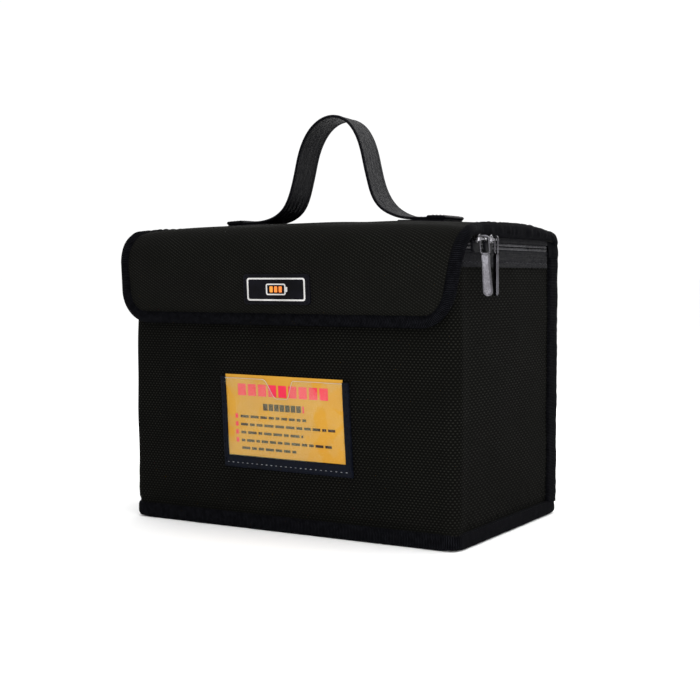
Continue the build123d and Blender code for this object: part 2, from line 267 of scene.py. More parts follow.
class Paint:
    """A material of one Principled shader, with helpers that add and link nodes."""

    def __init__(self, name, roughness=0.8, specular=0.2, **sockets):
        self.material = bpy.data.materials.new(name)
        self.material.use_nodes = True
        self.tree = self.material.node_tree
        self.tree.nodes.clear()
        self.shader = self.tree.nodes.new("ShaderNodeBsdfPrincipled")
        out = self.tree.nodes.new("ShaderNodeOutputMaterial")
        self.tree.links.new(self.shader.outputs[0], out.inputs[0])
        self.set("Roughness", roughness)
        self.set("Specular IOR Level", specular)
        for key, value in sockets.items():
            self.set(key.replace("_", " "), value)

    def set(self, socket, value):
        self.feed(self.shader.inputs[socket], value)

    def feed(self, socket, value):
        if isinstance(value, bpy.types.NodeSocket):
            self.tree.links.new(value, socket)
        elif isinstance(value, (tuple, list)) and len(value) == 3 and socket.type == "RGBA":
            socket.default_value = (*value, 1)
        else:
            socket.default_value = value

    def node(self, kind, *inputs, output=0, **settings):
        node = self.tree.nodes.new("ShaderNode" + kind)
        for key, value in settings.items():
            setattr(node, key, value)
        for key, value in enumerate(inputs):
            if value is not None:
                self.feed(node.inputs[key], value)
        return node.outputs[output]

    def math(self, operation, a, b=0.0, c=0.0):
        return self.node("Math", a, b, c, operation=operation)

    def weave(self):
        """Fabric coordinates in millimetres: the vector and its two numbers."""
        vector = self.node("UVMap", uv_map="weave")
        parts = self.tree.nodes.new("ShaderNodeSeparateXYZ")
        self.feed(parts.inputs[0], vector)
        return vector, parts.outputs[0], parts.outputs[1]

    def noise(self, vector, scale, detail=2.0, roughness=0.5):
        node = self.tree.nodes.new("ShaderNodeTexNoise")
        self.feed(node.inputs["Vector"], vector)
        self.feed(node.inputs["Scale"], scale)
        self.feed(node.inputs["Detail"], detail)
        self.feed(node.inputs["Roughness"], roughness)
        return node.outputs[0]

    def ramp(self, value, low, high, to_low=0.0, to_high=1.0):
        return self.node("MapRange", value, low, high, to_low, to_high, interpolation_type="SMOOTHSTEP")

    def mix(self, share, a, b):
        node = self.tree.nodes.new("ShaderNodeMix")
        node.data_type = "RGBA"
        for key, value in ((0, share), (6, a), (7, b)):
            self.feed(node.inputs[key], value)
        return node.outputs[2]

    def bump(self, height, distance, strength=1.0):
        node = self.tree.nodes.new("ShaderNodeBump")
        self.feed(node.inputs["Strength"], strength)
        self.feed(node.inputs["Distance"], distance)
        self.feed(node.inputs["Height"], height)
        self.feed(self.shader.inputs["Normal"], node.outputs[0])

    def dashes(self, u, v, pitch, size, angle=0.0):
        """A mask of short dashes on a staggered grid."""
        row = self.math("FLOOR", self.math("DIVIDE", v, pitch[1]))
        odd = self.math("MULTIPLY", self.math("MODULO", row, 2.0), 0.5)
        x = self.math("FRACT", self.math("ADD", self.math("DIVIDE", u, pitch[0]), odd))
        y = self.math("FRACT", self.math("DIVIDE", v, pitch[1]))
        x = self.math("MULTIPLY", self.math("SUBTRACT", x, 0.5), pitch[0])
        y = self.math("MULTIPLY", self.math("SUBTRACT", y, 0.5), pitch[1])
        c, s = math.cos(math.radians(angle)), math.sin(math.radians(angle))
        along = self.math("ADD", self.math("MULTIPLY", x, c / size[0]), self.math("MULTIPLY", y, s / size[0]))
        over = self.math("ADD", self.math("MULTIPLY", x, -s / size[1]), self.math("MULTIPLY", y, c / size[1]))
        d = self.math("SQRT", self.math("ADD", self.math("POWER", along, 2.0), self.math("POWER", over, 2.0)))
        return self.ramp(d, 0.45, 1.25, 1.0, 0.0)

    def ribs(self, u, v, pitch, zig=0.0, fold=1.6):
        """Ribs along u that lean back and forth across v."""
        lean = self.math("MULTIPLY", self.math("PINGPONG", v, fold), zig)
        turns = self.math("MULTIPLY", self.math("ADD", u, lean), 2 * math.pi / pitch)
        return self.math("MULTIPLY_ADD", self.math("SINE", turns), 0.5, 0.5)


def fabric(name, ground, thread, pitch, size, angle, roughness=0.85, specular=0.1, depth=0.00022, **sockets):
    p = Paint(name, specular=specular, **sockets)
    vector, u, v = p.weave()
    dash = p.dashes(u, v, pitch, size, angle)
    fibre = p.noise(vector, 2.6, 3.0)
    patch = p.noise(vector, 0.045, 2.0)
    lit = p.math("MULTIPLY", dash, p.ramp(fibre, 0.3, 0.7, 0.45, 1.0))
    lit = p.math("MULTIPLY", lit, p.ramp(patch, 0.3, 0.7, 0.7, 1.0))
    p.set("Base Color", p.mix(lit, ground, thread))
    p.set("Roughness", p.ramp(fibre, 0.2, 0.8, roughness - 0.1, roughness + 0.08))
    height = p.math("MULTIPLY_ADD", fibre, 0.35, dash)
    p.bump(height, depth)
    return p.material


def tape(name, ground, thread, pitch, zig, fold, roughness=0.75, specular=0.2, depth=0.00016, **sockets):
    p = Paint(name, specular=specular, **sockets)
    vector, u, v = p.weave()
    rib = p.ribs(u, v, pitch, zig, fold)
    fibre = p.noise(vector, 3.2, 3.0)
    patch = p.noise(vector, 0.3, 3.0)
    lit = p.math("MULTIPLY", rib, p.ramp(patch, 0.35, 0.65, 0.45, 1.0))
    lit = p.math("MULTIPLY", lit, p.ramp(fibre, 0.3, 0.7, 0.4, 1.0))
    p.set("Base Color", p.mix(lit, ground, thread))
    p.set("Roughness", p.ramp(patch, 0.3, 0.7, roughness - 0.1, roughness + 0.1))
    p.bump(p.math("MULTIPLY_ADD", fibre, 0.4, rib), depth)
    return p.material


def solid(name, colour, worn, roughness, scale, specular=0.5, depth=0.00002, **sockets):
    """Moulded plastic, rubber, metal or print: one colour with fine grain and soft wear."""
    p = Paint(name, specular=specular, **sockets)
    position = p.node("TexCoord", output=3)
    grain = p.noise(position, scale, 4.0, 0.6)
    cloud = p.noise(position, scale / 12, 2.0)
    p.set("Base Color", p.mix(p.ramp(cloud, 0.35, 0.7), colour, worn))
    p.set("Roughness", p.ramp(grain, 0.3, 0.7, roughness - 0.08, roughness + 0.1))
    p.bump(grain, depth, 0.6)
    return p.material


def clear_film():
    p = Paint("clear_film", roughness=0.16, specular=0.3, Base_Color=(0.60, 0.60, 0.36))
    vector, across, _ = p.weave()
    from_middle = p.math("ABSOLUTE", p.math("SUBTRACT", across, 40.0))
    cloud = p.math("MULTIPLY_ADD", from_middle, 0.006, p.noise(vector, 0.05, 1.0, 0.4))
    crease = p.noise(vector, 0.11, 3.0, 0.55)
    line = p.ramp(p.math("ABSOLUTE", p.math("SUBTRACT", crease, 0.5)), 0.0, 0.012, 0.25, 0.0)
    haze = p.ramp(cloud, 0.70, 0.73, 0.065, 0.0)
    p.set("Alpha", p.math("ADD", haze, p.math("MULTIPLY", line, 0.2)))
    p.bump(crease, 0.002, 0.5)
    return p.material


def napped():
    p = Paint("hook_and_loop", specular=0.1, Sheen_Weight=0.15, Sheen_Roughness=0.5)
    vector, u, v = p.weave()
    nap = p.noise(vector, 1.8, 5.0, 0.75)
    p.set("Base Color", p.mix(p.ramp(nap, 0.35, 0.7), (0.006, 0.006, 0.007), (0.035, 0.035, 0.038)))
    p.set("Roughness", 0.95)
    p.bump(nap, 0.0006)
    return p.material


METAL_GRAIN = 0.000008                      # depth of the grain on plated metal, metres

SHELL = fabric("shell_fabric", (0.0024, 0.0024, 0.0021), (0.0175, 0.0175, 0.015),
               (2.25, 1.43), (0.62, 0.42), 0, specular=0.012)
FLAP = fabric("flap_fabric", (0.0034, 0.0034, 0.0029), (0.021, 0.021, 0.0185), (3.0, 0.85), (0.8, 0.24), 29,
              specular=0.02)
BINDING = tape("binding_tape", (0.0005, 0.0005, 0.0008), (0.0105, 0.0108, 0.0135), 0.95, 0.15, 1.4,
               0.8, 0.01, 0.0003)
ZIP_TAPE = tape("zip_tape", (0.001, 0.001, 0.0016), (0.0165, 0.0165, 0.0215), 0.8, 1.0, 0.9,
                0.65, 0.05, 0.0003)
WEBBING = tape("webbing", (0.0014, 0.0014, 0.0022), (0.0105, 0.0105, 0.0145), 0.7, 0.9, 2.1, 0.42, 0.03)
POCKET_TAPE = tape("pocket_tape", (0.0007, 0.0011, 0.003), (0.0075, 0.0105, 0.021), 0.8, 0.4, 1.2, 0.6, 0.06)
LINER = fabric("liner_fabric", (0.18, 0.185, 0.185), (0.42, 0.43, 0.43), (1.5, 0.75), (0.55, 0.3), 0,
               0.55, 0.4, 0.0001)
NAPPED = napped()
COIL = solid("zip_coil", (0.022, 0.022, 0.025), (0.05, 0.05, 0.055), 0.25, 900)
FILM = clear_film()
# Painted highlight: a pale opaque tube along the clear window's upper edge, standing in for light caught on
# the film's cut edge.
FILM_EDGE_HIGHLIGHT = solid("window_edge_painted_highlight", (0.36, 0.38, 0.40), (0.5, 0.5, 0.5), 0.3, 500)
CARD = solid("card_stock", (0.465, 0.226, 0.020), (0.49, 0.25, 0.026), 0.55, 700, 0.15)
INK_RED = solid("ink_red", (0.60, 0.018, 0.05), (0.66, 0.04, 0.09), 0.5, 700, 0.15)
INK_DARK = solid("ink_dark", (0.012, 0.006, 0.008), (0.05, 0.028, 0.02), 0.5, 700, 0.15)
RUBBER = solid("badge_rubber", (0.0022, 0.0022, 0.003), (0.0045, 0.0045, 0.007), 0.42, 900, 0.04)
RELIEF = solid("badge_relief", (0.46, 0.45, 0.44), (0.58, 0.57, 0.56), 0.45, 900, 0.2)
ACCENT = solid("badge_accent", (0.85, 0.19, 0.015), (0.9, 0.38, 0.03), 0.4, 900)
METAL = solid("gunmetal", (0.062, 0.06, 0.066), (0.092, 0.09, 0.10), 0.33, 1500,
              0.5, METAL_GRAIN, Metallic=1.0)
# Painted shade: the slider plate is the same gunmetal as its crown and pull, drawn as a near-black, dull copy
# of it.
SHADED_GUNMETAL = solid("gunmetal_painted_shade", (0.003, 0.003, 0.004), (0.007, 0.007, 0.009), 0.5, 1500,
                   0.06, METAL_GRAIN)
# Painted highlight: the slider crown is the same gunmetal, drawn as a lighter copy of it.
CROWN_HIGHLIGHT_METAL = solid("gunmetal_painted_highlight", (0.15, 0.147, 0.157), (0.22, 0.215, 0.23), 0.25, 1500,
                    0.5, METAL_GRAIN, Metallic=1.0)
TAPE_THREAD = solid("zip_thread", (0.012, 0.012, 0.015), (0.05, 0.05, 0.055), 0.6, 1800, 0.1)
THREAD = solid("black_thread", (0.0008, 0.0008, 0.0011), (0.0025, 0.0025, 0.003), 0.7, 1800, 0.04)
PALE_THREAD = solid("pale_thread", (0.12, 0.125, 0.14), (0.3, 0.31, 0.33), 0.5, 1800)


# ---- the box's walls ----

def plan(s):
    """Points and outward normals on the box's outline, at distances s from the front's middle."""
    s = np.asarray(s, float)
    a, sign = np.abs(s), np.where(s < 0, -1.0, 1.0)
    front = np.clip((a - FRONT_RUN) / FRONT_R, 0, math.pi / 2)
    back = np.clip((a - CORNER_AT) / BACK_R, 0, math.pi / 2)
    turn = front + back
    nx, ny = np.sin(turn), -np.cos(turn)
    side = a < CORNER_AT
    r = np.where(side, FRONT_R, BACK_R)
    x = FRONT_RUN + (BODY_W / 2 - BACK_R - FRONT_RUN) * ~side + r * nx
    y = np.where(side, -BODY_D / 2 + FRONT_R, BODY_D / 2 - BACK_R) + r * ny
    x = x - np.clip(FRONT_RUN - a, 0, None) - np.clip(a - BACK_AT, 0, None)
    y = y + np.clip(np.minimum(a, CORNER_AT) - SIDE_AT, 0, None) * side
    return np.stack([sign * x, y], -1), np.stack([sign * nx, ny], -1)


def wall(s, z, out):
    """Points out from the box's outline."""
    s, z, out = np.broadcast_arrays(*[np.asarray(q, float) for q in (s, z, out)])
    p, n = plan(s)
    return np.stack([p[..., 0] + n[..., 0] * out, p[..., 1] + n[..., 1] * out, z], -1)


def hump(x, low, high):
    t = np.clip((x - low) / (high - low), 0, 1)
    return (4 * t * (1 - t)) ** 0.7


def bulge(s, z):
    """How far the filled panels stand out from the flat outline."""
    a = np.abs(s)
    up = hump(z, 7, 158)
    front = 1.2 * hump(a, -120, 120) * up * (1 - 0.75 * smooth(z, 108, 128))
    sides = 1.1 * hump(a, SIDE_AT - 8, CORNER_AT - 4) * hump(z, 8, 152)
    back = 1.4 * hump(a, BACK_AT + 6, 2 * HALF_ROUND - BACK_AT - 6) * up
    rest = wall(s, z, 0)
    seam = np.exp(-np.abs(z - 14) / 9) + 0.6 * np.exp(-np.abs(z - 150) / 6)
    seam = seam + 0.5 * np.exp(-np.abs(a - SEAM_AT) / 7)
    groove = np.exp(-((z - 10.1) / 1.5) ** 2) + np.exp(-((a - SEAM_AT + 0.9) / 1.3) ** 2)
    groove = groove + np.exp(-((a - BACK_SEAM_AT - 0.9) / 1.3) ** 2)
    front_corner = 0.8 * np.exp(-((a - (FRONT_RUN + SIDE_AT) / 2) / 7) ** 2)
    out = front + sides + back + front_corner - 0.9 * groove
    return np.maximum(out + 0.14 * ripple(rest, 52, 4) + 0.13 * seam * ripple(rest, 8, 5), -0.6)


def round_box(step):
    count = int(2 * HALF_ROUND / step)
    return -HALF_ROUND + 2 * HALF_ROUND / count * np.arange(count)


def build_walls():
    s = round_box(1.5)[:, None]
    z = np.r_[1.0, 4.0, np.arange(6.0, 14.0, 0.7), np.linspace(14.3, 159.4, 84)][None]
    skin = wall(s, z, bulge(s, z))
    inner = wall(s, z[:, ::-1], bulge(s, z[:, ::-1]) - 0.7)
    rings = np.concatenate([skin, inner], 1)
    uv = lengths(rings, (True, True))
    side = (np.abs(s[:, 0]) > SIDE_AT) & (np.abs(s[:, 0]) < CORNER_AT)
    uv[1:, :, 0] = np.cumsum(np.diff(uv[:, 0, 0]) * (1 - 0.5 * side))[:, None]
    wrap = Shape().grid(rings, wrap=(True, True), uv=uv).make("box_wrap", SHELL)
    settle(wrap, "body", "shell_fabric", "outer_wrap", "back_panel")

    rim = [(4.95, 4.8), (5.15, 30), (5.25, 80), (5.15, 130), (4.95, 156.5), (4.7, 159.2), (4.0, 160.05),
           (2.5, 160.12), (1.1, 160.05), (0.75, 159.7), (0.72, 158.9), (1.05, 158.9), (1.15, 159.4),
           (2.5, 159.85), (3.9, 159.6), (4.36, 158.5), (4.4, 130), (4.4, 80), (4.4, 30), (4.4, 4.8)]
    rim = divided(rim)
    lining = wall(s, rim[None, :, 1], -rim[None, :, 0])
    inside = (rim[:, 0] > 4.6)[None, :] * (rim[:, 1] < 157)[None, :]
    _, n = plan(s + 0 * rim[None, :, 0])
    wave = (0.22 * ripple(lining, 26, 8) - 0.1) * inside
    lining[..., 0] -= n[..., 0] * np.maximum(wave, -0.2)
    lining[..., 1] -= n[..., 1] * np.maximum(wave, -0.2)
    piece = Shape().grid(lining, wrap=(True, True), flip=True).make("box_lining", LINER)
    settle(piece, "body", "liner_fabric", "liner_walls")


def divided(points, most=6.0):
    """The loop's points with long gaps divided, so that a surface swept from it can wave."""
    out = []
    for p, q in zip(points, points[1:] + points[:1]):
        n = max(1, round(math.dist(p, q) / most))
        out += [(p[0] + (q[0] - p[0]) * k / n, p[1] + (q[1] - p[1]) * k / n) for k in range(n)]
    return np.array(out)


def disc(shape, inset, height, thick, rows=26):
    """A closed flat pad inside the outline: height(x, y) gives its upper face."""
    s = round_box(4.0)
    edge, _ = plan(s)
    _, n = plan(s)
    edge = edge - n * inset
    shares = np.linspace(1, 0.03, rows)
    upper = shares[:, None, None] * edge[None]
    z = height(upper[..., 0], upper[..., 1])
    face = np.concatenate([upper, z[..., None]], -1)
    under = face.copy()
    under[..., 2] -= thick
    shape.grid(face, wrap=(False, True), flip=True, uv=flat_uv(face))
    shape.grid(under, wrap=(False, True), uv=flat_uv(under))
    shape.grid(np.stack([face[0], under[0]]), wrap=(False, True))
    shape.cap(face[-1])
    shape.cap(under[-1], flip=True)
    return shape


def flat_uv(points):
    uv = points[..., :2]
    return np.concatenate([uv, uv[:, :1]], 1)


def build_floor_pads():
    def cushion(x, y):
        p = np.stack([x, y, 0 * x], -1)
        return 5.25 + 0.5 * (hump(x, -103, 103) * hump(y, -65, 65)) + 0.25 * ripple(p, 48, 12)
    pad = disc(Shape(), 5.0, cushion, 0.55).make("box_floor_lining", LINER)
    settle(pad, "body", "liner_fabric", "liner_base")

    def underside(x, y):
        p = np.stack([x, y, 0 * x], -1)
        return 0.98 + 0.06 * ripple(p, 30, 13)
    base = disc(Shape(), 1.0, underside, 0.6).make("box_base", SHELL)
    settle(base, "body", "shell_fabric", "base_panel")


def pucker(rings, normals, size, seed, outer, length=13):
    """Moves a stitched tape's outer points in and out by small puckers."""
    wave = size * (0.6 * ripple(rings, 4.5, seed) + ripple(rings, length, seed + 1)) * outer
    rings[..., :2] += normals * wave[..., None]


def swept_wall(s, section, size, seed):
    """Rings of a puckered tape along the box's outline: section holds (out, z) points of a closed loop."""
    section = np.array(section, float)
    rings = wall(s[:, None], section[None, :, 1], section[None, :, 0])
    pucker(rings, plan(s)[1][:, None], size, seed, section[:, 0] > 0.4)
    return rings


BOTTOM_SECTION = [(-9.6, 0.25), (-5, 0.08), (-1.6, 0.05), (0.1, 0.2), (1.1, 0.7), (1.6, 1.6), (1.75, 3.2),
                  (1.7, 5.2), (1.5, 7.2), (1.1, 8.4), (0.5, 9.0), (-0.2, 8.95), (-0.6, 8.4),
                  (-0.6, 5.0), (-0.6, 2.2), (-1.6, 0.95), (-5, 0.85), (-9.4, 0.8)]


def build_box_bindings():
    s = round_box(1.1)
    section = np.array(BOTTOM_SECTION)
    rings = swept_wall(s, section, 0.09, 20)
    corners = ((FRONT_RUN + SIDE_AT) / 2, (CORNER_AT + BACK_AT) / 2)
    corner = sum(np.exp(-((np.abs(s) - at) / 5) ** 2) for at in corners)
    rings[..., 2] += 0.9 * corner[:, None] * np.exp(-(section[:, 1] / 3.5) ** 2)[None]
    piece = Shape().grid(rings, wrap=(True, True)).make("bottom_binding_tape", BINDING)
    settle(piece, "body", "binding_tape", "bottom_binding")
    row = Shape()
    threads(row, wall(s, 8.3, 1.1), np.c_[plan(s)[1], 0 * s], 3.0, 1.9, 0.2, -0.3)
    settle(row.make("bottom_binding_thread", THREAD), "body")

    z = np.arange(7.6, 160.3, 1.1)
    wide = BACK_SEAM_AT - SEAM_AT
    across = np.array([(0.0, -0.6), (0.1, 0.5), (0.5, 1.05), (1.2, 1.35), (2.4, 1.55), (6, 1.9), (9.5, 2.6),
                       (13, 3.0), (17, 2.5), (wide - 2.4, 1.5), (wide - 1.2, 1.35), (wide - 0.5, 1.05),
                       (wide - 0.1, 0.5), (wide, -0.6), (wide - 4, -0.6), (8, -0.6), (3, -0.6)])
    for name, sign in (("left", -1), ("right", 1)):
        at = sign * (SEAM_AT + across[None, :, 0]) + 0 * z[:, None]
        rings = wall(at, z[:, None], across[None, :, 1] + 0 * z[:, None])
        pucker(rings, plan(at)[1], 0.1, 30, across[:, 1] > 0.5, 14)
        piece = Shape().tube(rings, flip=sign > 0).make(f"{name}_back_binding_tape", BINDING)
        settle(piece, "body", "binding_tape", f"{name}_back_binding")
        row = Shape()
        for across_at in (1.0, wide - 1.0):
            line = sign * (SEAM_AT + across_at) + 0 * z
            threads(row, wall(line, z, 1.15), np.c_[plan(line)[1], 0 * z], 3.0, 1.9, 0.2, -0.3)
        settle(row.make(f"{name}_back_binding_thread", THREAD), "body")


# ---- zipper ----

def build_zip():
    s = np.arange(-ZIP_END, ZIP_END + 0.1, 1.6)
    low = [(0.1, 150.9), (0.3, 150.5), (0.8, 150.5), (1.0, 151.1), (0.85, 152.4), (0.55, 153.3),
           (0.85, 154.1), (0.9, 155.4), (0.65, 156.0), (0.92, 156.6), (0.95, 157.7), (0.7, 158.3),
           (1.05, 158.9), (1.15, 159.6), (0.95, 160.15), (0.4, 160.2), (0.05, 159.6), (0.02, 155)]
    piece = Shape().tube(swept_wall(s, low, 0.05, 40)).make("lower_tape", ZIP_TAPE)
    settle(piece, "body", "zip_tape", "lower_zip_tape")
    row = Shape()
    fine = np.arange(-ZIP_END, ZIP_END, 0.5)
    weaving = 153.1 + 0.65 * (2 * np.abs((fine / 4.4) % 1 - 0.5) - 0.5) * 2
    threads(row, wall(fine, weaving, 0.86), np.c_[plan(fine)[1], 0 * fine], 2.2, 1.5, 0.2)
    settle(row.make("lower_tape_thread", TAPE_THREAD), "body")

    up = np.array([(0.1, 164.4), (0.4, 163.85), (0.95, 163.9), (1.1, 164.6), (0.95, 165.6), (0.75, 166.6),
                   (0.7, 167.7), (0.4, 168.0), (0.05, 167.4), (0.03, 165.5)])
    front = 1 - smooth(np.abs(s), SIDE_AT - 7, SIDE_AT + 2)
    section = np.repeat(up[None], len(s), 0)
    squeeze = 1 - 0.48 * front[:, None] * (section[..., 1] > 165)
    section[..., 1] = 163.8 + (section[..., 1] - 163.8) * squeeze
    rings = wall(s[:, None], section[..., 1], section[..., 0])
    piece = Shape().tube(rings).make("upper_tape", ZIP_TAPE)
    settle(piece, "lid", "zip_tape", "upper_zip_tape")

    pitch, wire = 1.5, 0.3
    for name, body, z0, phase in (("lower", "body", 161.02, 0.0), ("upper", "lid", 162.98, 0.5)):
        s = np.arange(-COIL_END, COIL_END, pitch / 9)
        turn = 2 * math.pi * (s / pitch + phase)
        out = 1.0 + 0.62 * np.cos(turn)
        z = z0 + 0.52 * np.sin(turn)
        centre = wall(s, z, out)
        along = unit(np.gradient(centre, axis=0))
        normal = unit(np.stack([*(plan(s)[1] * np.cos(turn)[:, None]).T, np.sin(turn)], -1))
        side = np.cross(along, normal)
        rings = centre[:, None] + wire * circle(normal[:, None], side[:, None])
        piece = Shape().tube(rings, flip=True).make(f"{name}_coil", COIL)
        settle(piece, body, "zip_coil", f"{name}_zip_coil")


def build_back_hinge():
    """The fabric that joins the back wall to the lid and closes the zipper's two ends."""
    first = ZIP_END + 0.6
    s = np.linspace(first, 2 * HALF_ROUND - first, 190)
    s = np.where(s > HALF_ROUND, s - 2 * HALF_ROUND, s)
    section = divided([(1.55, 157.0), (1.75, 158.5), (1.7, 161.0), (1.3, 163.5), (0.85, 166.3), (0.3, 167.5),
                       (-0.4, 167.9), (-1.2, 167.4), (-1.1, 165.6), (-0.7, 163.9), (1.1, 162.9), (1.2, 161.0),
                       (0.6, 159.8), (-0.5, 159.3), (-0.5, 157.0)], 1.0)
    corner = 1.15 * hump(np.abs(s), SEAM_AT + 2, BACK_SEAM_AT)[:, None] * (section[:, 0] > 0.7)[None]
    rings = wall(s[:, None], section[None, :, 1], section[None, :, 0] + corner)
    piece = Shape().tube(rings).make("back_hinge", BINDING)
    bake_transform(piece)


# ---- lid and flap, one strip ----

def crown_reach(r, z):
    """How far in y an arc's centre, at height z, is from the crown's where the two arcs are tangent."""
    return math.sqrt((CROWN_R - r) ** 2 - (z - CROWN_Z + CROWN_R) ** 2)


CROWN_C = (ROLL_C[0] + crown_reach(ROLL_R, ROLL_C[1]), CROWN_Z - CROWN_R)
LID_BACK_C = (CROWN_C[0] + crown_reach(LID_BACK_R, LID_BACK_Z), LID_BACK_Z)


def strip_profile():
    """The strip's side view from its back edge over the top and down the flap: t, y, z, ny, nz."""
    def turn(centre):
        return math.atan2(centre[1] - CROWN_C[1], centre[0] - CROWN_C[0])
    rows = [(LID_BACK_C[0] + LID_BACK_R, z, 1, 0) for z in np.arange(LID_LOW - 2, LID_BACK_Z, 0.2)]
    back, front = turn(LID_BACK_C), turn(ROLL_C)
    end = math.radians(180 + FLAP_LEAN)
    arcs = ((LID_BACK_C, LID_BACK_R, 0, back), (CROWN_C, CROWN_R, back, front), (ROLL_C, ROLL_R, front, end))
    for centre, r, a, b in arcs:
        for w in np.linspace(a, b, int(abs(b - a) * r / 0.2)):
            rows.append((centre[0] + r * math.cos(w), centre[1] + r * math.sin(w), math.cos(w), math.sin(w)))
    y, z = rows[-1][:2]
    ny, nz = math.cos(end), math.sin(end)
    rows += [(y - nz * d, z + ny * d, ny, nz) for d in np.arange(0.2, 42, 0.2)]
    rows = np.array(rows)
    gap = np.r_[1, np.linalg.norm(np.diff(rows[:, :2], axis=0), axis=1)]
    rows = rows[gap > 1e-4]
    t = np.r_[0, np.cumsum(np.linalg.norm(np.diff(rows[:, :2], axis=0), axis=1))]
    return np.c_[t, rows]


PROFILE = strip_profile()
T_START = np.interp(LID_LOW, PROFILE[:12, 2], PROFILE[:12, 0])
T_ROLL = PROFILE[np.argmax(PROFILE[:, 1] < ROLL_C[0] + 6), 0]
T_END = np.interp(-FLAP_END_Z, -PROFILE[-200:, 2], PROFILE[-200:, 0])


def on_flap(z):
    """Distance along the strip of a height on the flap."""
    return np.interp(-np.asarray(z, float), -PROFILE[-200:, 2], PROFILE[-200:, 0])


def droop(x):
    """How far the lid hangs down towards its side edges."""
    return LID_DROOP * np.abs(np.asarray(x) / CORE_HALF) ** 3.2


def strip(t, x, out=0.0):
    """Points of the strip: t along its profile, x across, out from its face."""
    t, x, out = np.broadcast_arrays(*[np.asarray(q, float) for q in (t, x, out)])
    y, z, ny, nz = [np.interp(t, PROFILE[:, 0], PROFILE[:, k]) for k in (1, 2, 3, 4)]
    skew = 5.6 * smooth(t, T_ROLL - 12, T_ROLL + 18) - 8.8 * smooth(t, T_ROLL + 18, T_END)
    x = x + skew * smooth(x, 45, CORE_HALF)
    sag = droop(x) * smooth(t, T_START - 4, T_START + 12)
    sag = sag * (1.3 - 0.3 * smooth(t, T_START + 20, T_START + 60))
    sag = sag * (1 - 0.4 * smooth(t, T_ROLL - 60, T_ROLL)) * (1 - smooth(t, T_ROLL + 4, T_ROLL + 30))
    return np.stack([x, y + ny * out, z + nz * out - sag], -1)


def strip_half(t):
    """Half the strip's width, less at the flap's rounded corners and at the lid's back corners."""
    over = np.clip(t - (T_END - FLAP_CORNER), 0, FLAP_CORNER)
    reach, cut = BACK_CORNER
    back = np.clip(1 - (t - T_START + 1) / reach, 0, 1)
    taper = 0.8 * (1 - smooth(t, T_START, T_START + 60))
    half = CORE_HALF - FLAP_CORNER + np.sqrt(FLAP_CORNER ** 2 - over ** 2)
    return half - cut * (1 - np.sqrt(1 - back ** 2)) - taper


def flap_share(t):
    return smooth(t, T_ROLL - 4, T_ROLL + 24)


def puff(t, x):
    """How far the padding lifts the cover between its bindings."""
    d = np.minimum(strip_half(t) - BINDING_W - np.abs(x), T_END - BINDING_W - t)
    d = np.minimum(d, t - T_START)
    rest = strip(t, x, 0)
    full = 0.3 + 0.6 * flap_share(t)
    lift = full * (1 - np.exp(-np.clip(d, 0, None) / 7)) - 0.85 * np.exp(-(d / 1.5) ** 2)
    seam = np.exp(-np.abs(d) / 8)
    y = np.interp(t, PROFILE[:, 0], PROFILE[:, 1])
    pads = smooth(-x, 45, 53) * (1 - smooth(-x, 79, 86)) + smooth(x, 36, 44) * (1 - smooth(x, 70, 77))
    pressed = (1 - smooth(np.abs(y), 11, 17)) * pads
    return lift - 0.75 * pressed + 0.12 * ripple(rest, 46, 50) + 0.12 * seam * ripple(rest, 7.5, 51)


def strip_uv(t, x):
    uv = np.stack(np.broadcast_arrays(x, t), -1)
    return np.concatenate([uv, uv[:, :1]], 1)


def build_strip():
    t = np.r_[np.arange(T_START, T_END - 14, 1.5), np.arange(T_END - 14, T_END, 0.8), T_END][:, None]
    w = np.linspace(-1, 1, 61)
    w = (np.sign(w) * (1 - (1 - np.abs(w)) ** 1.35))[None]
    x = strip_half(t) * w
    inner = LID_PAD + (FLAP_PAD - LID_PAD) * flap_share(t)
    outer = strip(t, x, puff(t, x))
    under = strip(t, x[:, ::-1], -inner)
    rings = np.concatenate([outer, under], 1)
    uv = strip_uv(t + 0 * x, x)[:, :-1]
    uv = np.concatenate([uv, uv[:, ::-1], uv[:, :1]], 1)
    cover = Shape().grid(rings, wrap=(False, True), uv=uv)
    cover.cap(rings[0], flip=True).cap(rings[-1])
    cover = cover.make("strip_cover", FLAP)
    blend_flap(cover, "flap_fabric", "lid_cover", "lid_padding", "flap_cover", "flap_padding")

    t = np.arange(T_START + 6, T_ROLL + 4, 2.5)[:, None]
    x = np.linspace(-107, 107, 90)[None]
    rest = strip(t, x)
    low = -6.55 - 0.12 * ripple(rest, 30, 60)
    rings = np.concatenate([strip(t, x, low), strip(t, x[:, ::-1], -5.75)], 1)
    lining = Shape().tube(rings, flip=True).make("lid_lining", LINER)
    settle(lining, "lid", "liner_fabric", "lid_liner")

    t = np.r_[np.arange(T_ROLL + 3, T_END - 1, 2.0), T_END - 1][:, None]
    x = (strip_half(t) - 1) * np.linspace(-1, 1, 80)[None]
    back = -3.15 - 3.4 * (1 - flap_share(t))
    rings = np.concatenate([strip(t, x, back), strip(t, x[:, ::-1], back + 0.55)], 1)
    lining = Shape().tube(rings, flip=True).make("flap_lining_sheet", FLAP)
    blend_flap(lining, "flap_fabric", "flap_lining")


def blend_flap(obj, slot, *nodes):
    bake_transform(obj)
    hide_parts(*nodes)


